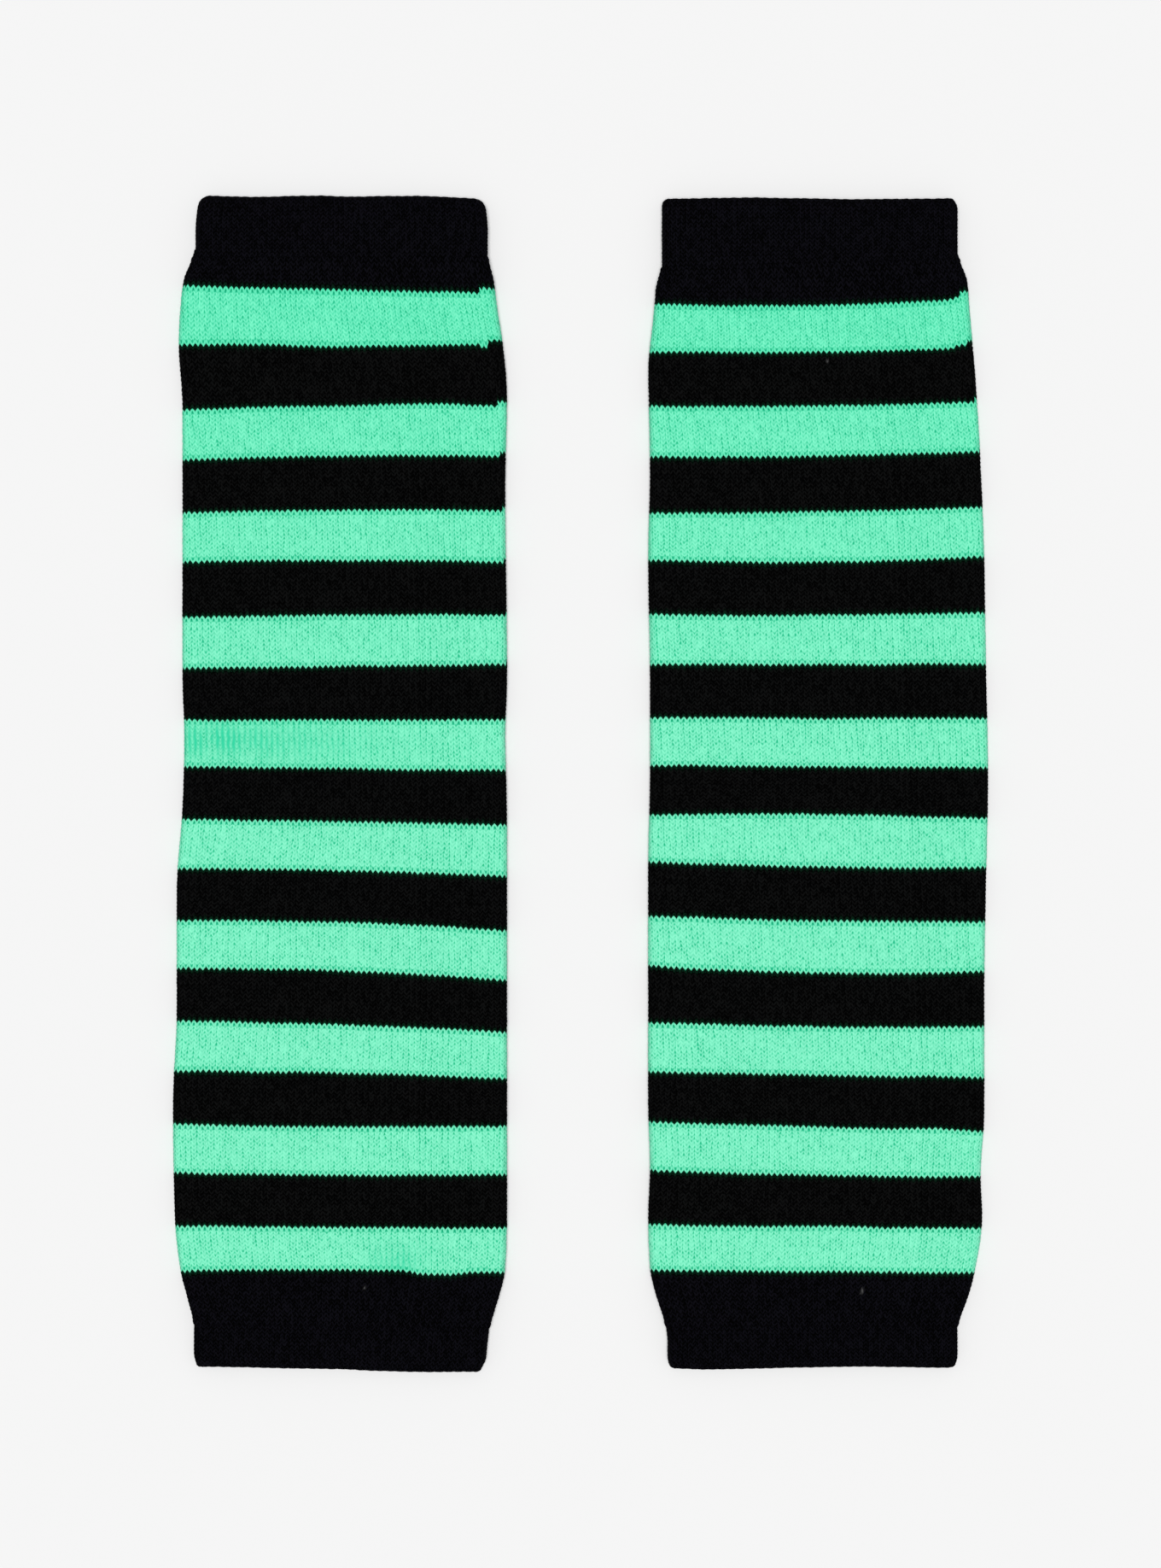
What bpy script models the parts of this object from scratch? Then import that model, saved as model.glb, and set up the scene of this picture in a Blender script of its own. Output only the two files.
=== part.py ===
"""A pair of striped, knitted arm warmers, laid flat side by side.

Each warmer is three tubes of cloth, end to end: a doubled welt as its upper cuff, a plain-knit body,
and a ribbed lower cuff. +Z is up, +Y runs from the lower cuff to the upper one, and the origin is the
middle of the pair's underside. Every tube lies on z = 0 with its front and back panels on each other.
"""

import math
from collections import namedtuple

import bmesh
import bpy

MM = 0.001
LENGTH = 305.0          # from the lower hem to the welt's fold, mm
SEAM_GAP = 0.3          # between a cuff and the body, mm

# Thickness of one side of each tube, mm.
WELT_WALL = 2.4         # two layers of rib, folded at the top edge
BODY_WALL = 1.3         # one layer of plain knit
RIB_WALL = 1.8          # one layer of rib, with a bound edge

# Where each warmer's centre line and the lower hem lie, mm.
CENTRE_X = 62.0
LOWER_HEM_Y = -LENGTH / 2

# Facets of a tube: across each panel, round each side fold, round the edge of a cuff, and between two
# rows of a table.
PANEL_SEGMENTS = 4
FOLD_SEGMENTS = 6
RIM_SEGMENTS = 4
ROW_SEGMENTS = 3

# One cross-section of a laid tube, mm. y is measured up from the lower hem, at the section's middle,
# and tilt is how much higher its right end lies. left and right are the side folds' distances from the
# warmer's centre line, and height is how thick the tube lies there. Read off the photograph by eye, to
# the half millimetre; the height is a guess, as the photograph looks straight down.
Section = namedtuple("Section", "y tilt left right height")

WELT_EDGE = LENGTH - WELT_WALL / 2
RIB_EDGE = RIB_WALL / 2
LOWER_JOIN = 12.0
LEFT_UPPER_JOIN = 289.0
RIGHT_UPPER_JOIN = 287.5

LEFT_UPPER_CUFF = (
    Section(LEFT_UPPER_JOIN, 0.0, 38.0, 38.0, 5.5),
    Section(296.0, 0.0, 38.0, 38.0, 5.5),
    Section(302.0, 0.0, 37.5, 37.5, 5.5),
    Section(WELT_EDGE, 0.0, 37.0, 36.5, 5.0),
)
LEFT_BODY = (
    Section(LOWER_JOIN + SEAM_GAP, -1.0, 38.5, 38.5, 4.0),
    Section(20.0, -0.5, 40.5, 41.0, 4.0),
    Section(26.0, 0.0, 42.0, 42.5, 3.5),
    Section(40.0, 0.5, 43.5, 43.0, 3.5),
    Section(70.0, -1.0, 44.0, 43.0, 3.5),
    Section(90.0, -3.0, 43.0, 43.0, 3.5),
    Section(125.0, -2.0, 43.0, 43.0, 3.5),
    Section(145.0, -2.0, 41.5, 43.0, 3.5),
    Section(165.0, 0.0, 41.0, 42.5, 3.5),
    Section(180.0, 0.5, 41.5, 43.0, 3.5),
    Section(230.0, 0.5, 41.5, 42.5, 3.5),
    Section(252.0, 1.5, 41.5, 43.0, 3.5),
    Section(266.0, 0.0, 42.5, 42.0, 3.5),
    Section(276.0, -1.0, 42.0, 40.5, 4.0),
    Section(284.0, -0.5, 41.0, 39.5, 4.5),
    Section(LEFT_UPPER_JOIN - SEAM_GAP, 0.0, 38.5, 38.0, 5.5),
)
LEFT_LOWER_CUFF = (
    Section(RIB_EDGE + 0.75, -1.5, 38.0, 36.5, 4.0),
    Section(3.5, -1.5, 38.5, 37.5, 4.5),
    Section(8.0, -1.0, 38.5, 38.0, 4.5),
    Section(LOWER_JOIN, -1.0, 38.5, 38.5, 4.0),
)

RIGHT_UPPER_CUFF = (
    Section(RIGHT_UPPER_JOIN, 2.0, 41.0, 36.0, 5.5),
    Section(296.0, 0.5, 41.0, 36.0, 5.5),
    Section(302.0, 0.0, 41.0, 36.0, 5.5),
    Section(WELT_EDGE - 0.5, 0.0, 41.0, 35.5, 5.0),
)
RIGHT_BODY = (
    Section(LOWER_JOIN + SEAM_GAP, 0.0, 40.0, 36.0, 4.0),
    Section(20.0, 0.0, 42.5, 39.0, 4.0),
    Section(26.0, -0.5, 44.0, 40.5, 3.5),
    Section(40.0, -0.5, 44.5, 42.5, 3.5),
    Section(52.0, -1.5, 44.0, 42.0, 3.5),
    Section(68.0, -2.5, 44.5, 43.0, 3.5),
    Section(100.0, -1.5, 44.5, 43.0, 3.5),
    Section(130.0, -1.5, 44.5, 43.5, 3.5),
    Section(155.0, -0.5, 44.0, 44.0, 3.5),
    Section(180.0, 0.0, 44.0, 43.5, 3.5),
    Section(210.0, 1.0, 44.5, 43.0, 3.5),
    Section(236.0, 1.5, 44.0, 42.0, 3.5),
    Section(260.0, 1.0, 44.5, 40.5, 3.5),
    Section(276.0, 2.0, 43.0, 39.0, 4.0),
    Section(283.0, 2.0, 42.5, 38.5, 4.5),
    Section(RIGHT_UPPER_JOIN - SEAM_GAP, 2.0, 41.0, 36.0, 5.5),
)
RIGHT_LOWER_CUFF = (
    Section(RIB_EDGE + 0.75, 0.5, 39.0, 35.5, 4.0),
    Section(3.5, 0.5, 39.5, 36.0, 4.5),
    Section(8.0, 0.0, 39.5, 36.0, 4.5),
    Section(LOWER_JOIN, 0.0, 40.0, 36.0, 4.0),
)

Colour = namedtuple("Colour", "red green blue")
MINT = Colour(0.18, 0.83, 0.52)
BLACK = Colour(0.006, 0.006, 0.009)


def clear_scene():
    for old in list(bpy.data.objects):
        bpy.data.objects.remove(old)


def yarn_material(name, colour):
    material = bpy.data.materials.new(name)
    material.use_nodes = True
    shader = material.node_tree.nodes["Principled BSDF"]
    shader.inputs["Base Color"].default_value = (*colour, 1.0)
    shader.inputs["Roughness"].default_value = 0.9
    shader.inputs["Metallic"].default_value = 0.0
    return material


def slopes(heights, values):
    """The slope of a smooth curve at each of its rows, level wherever the values turn back."""
    pairs = list(zip(heights, values))
    steps = [(after[1] - row[1]) / (after[0] - row[0]) for row, after in zip(pairs, pairs[1:])]
    inner = [2 * low * high / (low + high) if low * high > 0 else 0.0 for low, high in zip(steps, steps[1:])]
    return [steps[0], *inner, steps[-1]]


def smooth(rows):
    """The table's rows with more worked out between them, on a curve through each of its columns."""
    heights = [row.y for row in rows]
    columns = list(zip(*rows))
    slope_columns = [slopes(heights, column) for column in columns]
    found = []
    for i in range(len(rows) - 1):
        span = heights[i + 1] - heights[i]
        for k in range(ROW_SEGMENTS):
            t = k / ROW_SEGMENTS
            values = []
            for column, slope in zip(columns, slope_columns):
                low, high = column[i], column[i + 1]
                start, end = slope[i] * span, slope[i + 1] * span
                rise = high - low
                bend = t * (3 * rise - 2 * start - end + t * (start + end - 2 * rise))
                values.append(low + t * (start + bend))
            found.append(Section(*values))
    return [*found, rows[-1]]


def inset(section, depth):
    """The section again, shrunk by depth on every side, as the wall's inner face is."""
    return section._replace(
        left=section.left - depth, right=section.right - depth, height=section.height - 2 * depth
    )


def ring(section, lift):
    """Points round a laid tube, from the right fold over the front to the left fold and back under.

    The section is two flat panels joined by half-round folds, lift above z = 0.
    """
    radius = section.height / 2
    reach_left, reach_right = section.left - radius, section.right - radius
    width = section.left + section.right
    points = []

    def add(x, z):
        y = section.y + section.tilt * (x + section.left) / width - section.tilt / 2
        points.append((x, y, z + lift))

    for panel, fold_x, far_x, first_angle in (
        ("front", reach_right, -reach_left, -math.pi / 2),
        ("back", -reach_left, reach_right, math.pi / 2),
    ):
        for i in range(FOLD_SEGMENTS):
            angle = first_angle + math.pi * i / FOLD_SEGMENTS
            add(fold_x + radius * math.cos(angle), radius * (1 + math.sin(angle)))
        panel_z = section.height if panel == "front" else 0.0
        for i in range(PANEL_SEGMENTS):
            add(fold_x + (far_x - fold_x) * i / PANEL_SEGMENTS, panel_z)
    return points


def rounded_edge(section, wall, outwards):
    """Rings that take the outer face round into the inner one, in a half circle as thick as the wall."""
    radius = wall / 2
    rings = []
    for i in range(1, RIM_SEGMENTS):
        angle = math.pi * i / RIM_SEGMENTS
        depth = radius * (1 - math.cos(angle))
        turned = inset(section, depth)._replace(y=section.y + outwards * radius * math.sin(angle))
        rings.append(ring(turned, depth))
    return rings


def tube(name, rows, wall, centre_x, material, collection, edge=None):
    """A tube of cloth through the rows. edge is "top" or "bottom" where that end is rounded."""
    sections = smooth(rows)
    outer = [ring(section, 0.0) for section in sections]
    inner = [ring(inset(section, wall), wall) for section in reversed(sections)]
    top_edge = rounded_edge(sections[-1], wall, 1) if edge == "top" else []
    bottom_edge = rounded_edge(sections[0], wall, -1)[::-1] if edge == "bottom" else []
    rings = outer + top_edge + inner + bottom_edge

    shape = bmesh.new()
    loops = [
        [shape.verts.new(((centre_x + x) * MM, (LOWER_HEM_Y + y) * MM, z * MM)) for x, y, z in points]
        for points in rings
    ]
    for loop, after in zip(loops, loops[1:] + loops[:1]):
        for i in range(len(loop)):
            j = (i + 1) % len(loop)
            shape.faces.new((loop[i], loop[j], after[j], after[i]))
    bmesh.ops.recalc_face_normals(shape, faces=shape.faces)
    mesh = bpy.data.meshes.new(name)
    shape.to_mesh(mesh)
    shape.free()
    mesh.shade_smooth()
    mesh.set_sharp_from_angle(angle=math.radians(50))
    mesh.materials.append(material)
    piece = bpy.data.objects.new(name, mesh)
    collection.objects.link(piece)
    return piece


def warmer(side, centre_x, upper_cuff, body, lower_cuff, yarns, collection):
    tube(f"{side}_upper_cuff", upper_cuff, WELT_WALL, centre_x, yarns["black"], collection, edge="top")
    tube(f"{side}_body", body, BODY_WALL, centre_x, yarns["mint"], collection)
    tube(f"{side}_lower_cuff", lower_cuff, RIB_WALL, centre_x, yarns["black"], collection, edge="bottom")


def main():
    clear_scene()
    collection = bpy.data.collections.new("arm_warmers")
    bpy.context.scene.collection.children.link(collection)
    yarns = {"mint": yarn_material("mint_yarn", MINT), "black": yarn_material("black_yarn", BLACK)}
    warmer("left", -CENTRE_X, LEFT_UPPER_CUFF, LEFT_BODY, LEFT_LOWER_CUFF, yarns, collection)
    warmer("right", CENTRE_X, RIGHT_UPPER_CUFF, RIGHT_BODY, RIGHT_LOWER_CUFF, yarns, collection)


main()
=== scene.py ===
"""A pair of striped, knitted arm warmers, laid flat side by side on a pale floor, seen from above.

Each warmer is a tube of plain knit, 120 stitches round, in mint and black stripes, with a doubled welt
at the top and a ribbed cuff at the bottom. The cloth is modelled stitch by stitch: a stitch is two
slanting legs, each a low mound with a hollow at either end. Every surface is placed by two knitting
coordinates, the wale (how far round, in stitches) and the course (how far up, in rows).
"""

import math
from collections import namedtuple

import bpy
import numpy as np
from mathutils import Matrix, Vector
from mathutils.bvhtree import BVHTree


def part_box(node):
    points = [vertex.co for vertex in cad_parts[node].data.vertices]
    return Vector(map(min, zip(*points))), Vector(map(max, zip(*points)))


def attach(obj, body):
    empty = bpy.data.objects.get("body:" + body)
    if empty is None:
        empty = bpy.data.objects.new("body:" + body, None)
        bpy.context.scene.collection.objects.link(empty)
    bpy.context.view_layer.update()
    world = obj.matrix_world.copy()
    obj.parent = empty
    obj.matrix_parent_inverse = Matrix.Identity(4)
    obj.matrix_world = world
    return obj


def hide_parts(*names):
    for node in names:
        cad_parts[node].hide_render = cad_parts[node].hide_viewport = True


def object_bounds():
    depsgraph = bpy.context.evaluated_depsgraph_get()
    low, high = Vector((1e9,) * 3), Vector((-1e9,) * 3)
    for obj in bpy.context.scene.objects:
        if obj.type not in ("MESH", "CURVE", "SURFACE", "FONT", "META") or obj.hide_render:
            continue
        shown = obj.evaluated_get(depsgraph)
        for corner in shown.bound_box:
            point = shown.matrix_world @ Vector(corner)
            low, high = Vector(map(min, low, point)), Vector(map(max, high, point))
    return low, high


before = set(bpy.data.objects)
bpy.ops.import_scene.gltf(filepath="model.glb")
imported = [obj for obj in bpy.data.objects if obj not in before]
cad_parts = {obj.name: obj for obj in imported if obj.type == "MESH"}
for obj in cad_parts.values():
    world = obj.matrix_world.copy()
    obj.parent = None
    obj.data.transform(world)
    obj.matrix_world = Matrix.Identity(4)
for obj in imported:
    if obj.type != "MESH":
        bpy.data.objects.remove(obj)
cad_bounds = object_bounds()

MM = 0.001
BAKE_MARGIN = 0.01                      # round the flat map that bakes use, as a share of it
LOWER_HEM_Y = cad_bounds[0][1] / MM     # mm; heights up a warmer are measured from here
CENTRE_X = 62.0                         # of each warmer's centre line from the middle of the pair, mm

# ---------------- the knitting

WALES = 120                 # stitches round a warmer, so 60 on each side
LEG_RISE = 0.80             # courses that one leg climbs, from the foot of the V to its top
LEG_BEND = 0.85             # under 1, as the legs bend over where they meet

# Each kind of point of a stitch: its depth below the tops of the yarn, mm, and its painted shade, how dark
# the yarn's colour is made there where shadow would fall, from 0 on a leg's back to 1 in a hollow. A peak
# is where the legs of two wales meet, and a foot is the bottom of a V, in the middle of a wale.
Point = namedtuple("Point", "depth shade")
LEG_BACK = Point(0.0, 0.0)
BETWEEN_LEGS = Point(0.12, 0.35)
PEAK_LEG_END = Point(0.08, 0.10)
PEAK_HOLLOW = Point(0.30, 0.90)
FOOT_LEG_END = Point(0.05, 0.05)
FOOT_HOLLOW = Point(0.22, 0.75)
HOLLOW_UNEVENNESS = 0.30    # of the hollows' painted shade, as a share; their depth is half as uneven
UNEVEN_LIMITS = 0.2, 1.8    # the least and the most that a hollow's painted shade is multiplied by
TOP_EDGE_SHADE, BOTTOM_EDGE_SHADE = 3.0, 2.3    # in a stripe's last hollows, where the next yarn shows
FRINGE_COURSES = 1.3        # how far in from a stripe's edge its yarn is mixed with the next one's fibres

SEAM_TUCK = 0.75            # how far the body sinks where it runs into a cuff, mm
TUCK_LEAD, TUCK_REACH = 0.3, 1.2    # courses before the join that it starts to, and that it takes
TUCKED_COURSES = 2          # courses of the body that run on under each cuff

RIB_DEPTH = 0.30            # how far a sunk rib lies below its neighbours, mm
RIB_RELIEF = 0.80           # how deep a rib's own stitches are, as a share of the body's
RIM_SCALLOP = 0.08          # how far a sunk rib draws a cuff's free edge in, mm
JOIN_DIP, JOIN_COURSES = 0.2, 1.1   # how far a cuff sinks at its join, mm, and over how many courses

# Courses of each stripe, black and mint by turns from the lower cuff, where the lowest mint stripe is
# one course short. Each warmer's top three stripes are in its own row.
LOWEST_STRIPES = (13, 11)
MIDDLE_STRIPES = (13, 12) * 8
TopStripes = namedtuple("TopStripes", "black mint end")
LEFT_TOP = TopStripes(14, 13, 7)
RIGHT_TOP = TopStripes(13, 12, 9)

# How a course lies, mm. courses is how many are below it, and middle is its height above the hem in
# the middle of the front. tilt is how much higher its right end is than its left end, and bow is how
# much higher its middle is than its ends. Read off the photograph, to the half millimetre.
Lie = namedtuple("Lie", "courses middle tilt bow")
LEFT_LIES = (
    Lie(0, 12.0, -1.0, 0.0),
    Lie(13, 26.5, -0.5, 0.5),
    Lie(24, 37.5, -0.5, 0.0),
    Lie(37, 51.0, -0.5, -0.5),
    Lie(49, 63.5, -0.5, -0.5),
    Lie(62, 77.5, -2.0, 0.5),
    Lie(74, 90.0, -3.0, 0.5),
    Lie(87, 104.0, -3.0, 1.0),
    Lie(112, 130.0, -2.0, 0.5),
    Lie(137, 156.5, -1.0, 0.0),
    Lie(149, 169.0, 0.0, 0.0),
    Lie(162, 183.0, 1.0, 0.0),
    Lie(187, 210.5, 0.0, 0.5),
    Lie(212, 237.5, 1.0, 0.5),
    Lie(224, 250.5, 1.0, 0.5),
    Lie(238, 266.0, 0.0, -0.5),
    Lie(251, 280.5, -2.0, 0.0),
    Lie(258, 289.0, 0.0, 0.0),
)
RIGHT_LIES = (
    Lie(0, 12.0, 0.0, 0.0),
    Lie(13, 26.0, -0.5, 0.0),
    Lie(37, 51.0, -1.5, -0.5),
    Lie(49, 63.5, -2.5, 0.0),
    Lie(62, 77.0, -1.5, 0.0),
    Lie(74, 89.5, -1.0, -0.5),
    Lie(87, 103.5, -1.5, -1.0),
    Lie(99, 117.0, -1.5, -0.5),
    Lie(112, 131.0, -1.5, -0.5),
    Lie(124, 144.5, -1.0, 0.5),
    Lie(137, 157.0, -0.5, 0.0),
    Lie(162, 183.5, 0.0, 0.0),
    Lie(187, 210.0, 1.0, -1.0),
    Lie(199, 223.0, 1.5, -0.5),
    Lie(212, 237.5, 1.5, -0.5),
    Lie(224, 250.5, 1.0, -0.5),
    Lie(237, 264.5, 1.0, -0.5),
    Lie(249, 276.5, 1.5, -1.0),
    Lie(258, 287.5, 2.0, 0.0),
)

# Where the front sags below its courses' lines by drop, or rises above them where that is < 0, all mm. It
# is centred on x from the warmer's middle and y from the hem, and reaches width and height from there.
Sag = namedtuple("Sag", "x y width height drop")
LEFT_SAGS = (
    Sag(25, 26, 7, 6, 1.0),
    Sag(-24, 266, 10, 6, -0.3),
    Sag(20, 250, 12, 7, -0.4),
    Sag(37, 266, 0.8, 1.2, 0.9),        # one loose stitch, at the yarn change
)
RIGHT_SAGS = (
    Sag(0, 36, 12, 7, -0.3),
    Sag(32, 62, 10, 6, -0.4),
    Sag(39, 272, 4, 12, -1.3),
)

# Where the front is pulled sideways, so that the gaps between its stitches open: this is shown only as
# shade painted into the gaps. It is placed as a sag is, and amount is how much of that painted shade shows
# at its centre.
Stretch = namedtuple("Stretch", "x y width height amount")
LEFT_STRETCHES = (
    Stretch(-34, 164, 15, 4.5, 1.0),
    Stretch(-10, 163, 24, 6, 0.55),
    Stretch(14, 28, 6, 5, 0.8),
)
RIGHT_STRETCHES = ()

# A fibre of lint on the front's black cloth, mm: its middle, how long it is, and how far it leans over to
# the right, in degrees.
Lint = namedtuple("Lint", "x y length lean")
LEFT_LINT = (Lint(6, 22, 0.9, 30),)
RIGHT_LINT = (Lint(11, 21, 1.5, 20), Lint(2, 262, 0.7, 0))
LINT_WIDTH = 0.2
FRONT_LEVEL = 1.7           # mm; the front panels lie higher than this, and the back ones lower

# How far the stitches have slid round the tube at a height, mm to the right: the tube lies with a twist.
Slide = namedtuple("Slide", "y shift")
LEFT_SLIDES = (
    Slide(12, 0), Slide(150, 0), Slide(180, -0.5), Slide(225, -1.5), Slide(250, -3.5), Slide(290, -6),
)
RIGHT_SLIDES = (
    Slide(12, 4), Slide(60, 4), Slide(150, 0), Slide(240, -3.5), Slide(265, -5.5), Slide(290, -7),
)

# A soft fold pressed into the front panel, mm. It is centred on x from the warmer's middle and y from
# the hem, runs length at angle (degrees from the wales), and rises height, or sinks where that is < 0.
Crease = namedtuple("Crease", "x y length width height angle")
LEFT_CREASES = (
    Crease(-26, 268, 34, 5.0, -0.30, 14),
    Crease(-8, 274, 26, 4.0, 0.28, 6),
    Crease(17, 270, 38, 5.5, -0.26, -9),
    Crease(31, 262, 30, 4.5, 0.30, -16),
    Crease(-22, 224, 46, 9.0, -0.28, 78),
    Crease(10, 198, 60, 8.0, 0.22, -84),
    Crease(-30, 172, 40, 6.0, -0.34, 62),
    Crease(24, 150, 52, 9.0, -0.24, 74),
    Crease(-12, 118, 58, 8.0, 0.22, -70),
    Crease(32, 92, 36, 6.0, -0.36, 58),
    Crease(28, 44, 30, 5.0, -0.34, 38),
    Crease(-24, 52, 44, 7.0, 0.22, 82),
    Crease(-14, 26, 24, 4.0, -0.26, 8),
    Crease(6, 24, 20, 3.6, 0.26, -4),
    Crease(22, 27, 26, 4.4, -0.24, -10),
)
RIGHT_CREASES = (
    Crease(-28, 264, 30, 5.0, 0.28, 12),
    Crease(-14, 270, 34, 4.6, -0.28, 5),
    Crease(6, 268, 24, 4.0, 0.24, -6),
    Crease(24, 264, 40, 5.4, -0.30, -14),
    Crease(26, 232, 48, 8.0, 0.24, 72),
    Crease(-20, 206, 56, 9.0, -0.26, -80),
    Crease(12, 176, 50, 7.0, -0.22, 86),
    Crease(-32, 148, 38, 6.0, 0.26, 66),
    Crease(20, 122, 54, 9.0, 0.24, -76),
    Crease(-18, 96, 46, 7.0, -0.26, 70),
    Crease(30, 64, 38, 6.0, -0.30, -60),
    Crease(-26, 46, 34, 6.0, 0.22, 80),
    Crease(-12, 25, 22, 4.0, 0.26, 7),
    Crease(8, 26, 26, 4.4, -0.26, -3),
    Crease(26, 24, 20, 3.8, 0.22, -12),
)
BACK_CREASE_SHARE = 0.5     # the underside is pressed by the floor, so its folds are shallower
CREASE_FADE = 6.0           # mm in from a side fold, within which the soft folds fade out

# How a cuff's free edge waves: how much higher than straight it lies, mm, at across from -1 at the left
# fold to 1 at the right one. Read off the photograph, to the tenth of a millimetre.
Wave = namedtuple("Wave", "across rise")
LEFT_UPPER_EDGE = (
    Wave(-1, 0.2), Wave(-0.65, -0.1), Wave(-0.15, 0.2), Wave(0.15, 0.0), Wave(0.5, 0.2), Wave(0.85, -0.3),
    Wave(1, -0.6),
)
LEFT_LOWER_EDGE = (Wave(-1, -0.2), Wave(0, -0.2), Wave(0.5, -0.5), Wave(1, -0.1))
RIGHT_UPPER_EDGE = (Wave(-1, -0.2), Wave(-0.4, 0.1), Wave(0.3, -0.3), Wave(1, 0.0))
RIGHT_LOWER_EDGE = (Wave(-1, 0.3), Wave(-0.75, 0.0), Wave(0.4, 0.4), Wave(0.9, 0.0), Wave(1, 0.1))

# A cuff: how much higher its join and its free edge lie at the right fold than at the left one, mm, how
# that edge waves, the thickness of one side of the cuff, and how many courses it has up its outside and
# its inside. layers is 2 where the cloth is turned over at the free edge.
Cuff = namedtuple("Cuff", "join_tilt edge_tilt waves wall outer_courses inner_courses layers")
LEFT_UPPER = Cuff(0.0, 0.0, LEFT_UPPER_EDGE, 2.4, 14, 13, 2)
LEFT_LOWER = Cuff(-1.0, -1.5, LEFT_LOWER_EDGE, 1.8, 10, 10, 1)
RIGHT_UPPER = Cuff(2.0, 0.0, RIGHT_UPPER_EDGE, 2.4, 15, 14, 2)
RIGHT_LOWER = Cuff(0.0, 0.5, RIGHT_LOWER_EDGE, 1.8, 10, 10, 1)

# How much white is mixed into the mint yarn's colour at a height, as a share: it is paler lower down the
# warmer.
Nap = namedtuple("Nap", "y share")
WHITENING_BY_HEIGHT = (Nap(110, 1.0), Nap(165, 0.9), Nap(220, 0.55), Nap(275, 0.0))

# One warmer: its CAD nodes' prefix, its centre line, mm, its tables, the wale where the yarn is changed,
# counted from the left fold, and its random seed. Right of that wale each course lies one row higher.
Warmer = namedtuple(
    "Warmer", "side centre_x top lies sags stretches lint slides creases upper lower change_wale seed"
)
WARMERS = (
    Warmer(
        "left", -CENTRE_X, LEFT_TOP, LEFT_LIES, LEFT_SAGS, LEFT_STRETCHES, LEFT_LINT, LEFT_SLIDES,
        LEFT_CREASES, LEFT_UPPER, LEFT_LOWER, change_wale=60, seed=11,
    ),
    Warmer(
        "right", CENTRE_X, RIGHT_TOP, RIGHT_LIES, RIGHT_SAGS, RIGHT_STRETCHES, RIGHT_LINT, RIGHT_SLIDES,
        RIGHT_CREASES, RIGHT_UPPER, RIGHT_LOWER, change_wale=62, seed=23,
    ),
)

# What is added to a warmer's seed for its body's hollows and for each cuff, and to a cuff's for its own.
BODY_HOLLOWS_SEED, LOWER_CUFF_SEED, UPPER_CUFF_SEED, CUFF_HOLLOWS_SEED = 40, 60, 70, 5

# Unevenness of the stitches, mm. Each one sways up or down, and as many wales sideways, and is lifted or
# sunk. A slow sway has one random height for each so many stitches. The cuffs sway less.
STITCH_SWAY, STITCH_LIFT = 0.08, 0.02
COURSE_SWAY, COURSE_SPACING = 0.07, 8
CUFF_STITCH_SWAY, CUFF_COURSE_SWAY, CUFF_COURSE_SPACING = 0.03, 0.06, 6
CUFF_LIFT_WALES = 3         # how far on a cuff's lifts are read, in the noise of its sways


# ---------------- smooth curves through short tables

def curve(places, values, at):
    """A smooth curve through values at places, level where the values turn back, read at each of at."""
    places, values = np.asarray(places, float), np.asarray(values, float)
    steps = np.diff(values) / np.diff(places)
    turning = steps[:-1] * steps[1:] <= 0
    inner = 2 * steps[:-1] * steps[1:] / np.where(turning, 1, steps[:-1] + steps[1:])
    slopes = np.concatenate([steps[:1], np.where(turning, 0, inner), steps[-1:]])
    i = np.clip(np.searchsorted(places, at, side="right") - 1, 0, len(places) - 2)
    span = places[i + 1] - places[i]
    t = (at - places[i]) / span
    inside = np.clip(t, 0, 1)
    start, end, rise = slopes[i] * span, slopes[i + 1] * span, values[i + 1] - values[i]
    bend = inside * (3 * rise - 2 * start - end + inside * (start + end - 2 * rise))
    beyond = np.minimum(t, 0) * start + np.maximum(t - 1, 0) * end
    return values[i] + inside * (start + bend) + beyond


def table_curve(rows, at):
    """A smooth curve through a table's second column over its first, read at each of at."""
    places, values = zip(*rows)
    return curve(places, values, at)


def smoothed(values, steps):
    """The values again, each the mean of its neighbours within about steps places."""
    reach = np.arange(-3 * steps, 3 * steps + 1)
    weights = np.exp(-0.5 * (reach / steps) ** 2)
    padded = np.pad(values, 3 * steps, mode="edge")
    return np.convolve(padded, weights / weights.sum(), mode="valid")


# ---------------- the form that the cloth lies in

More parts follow.
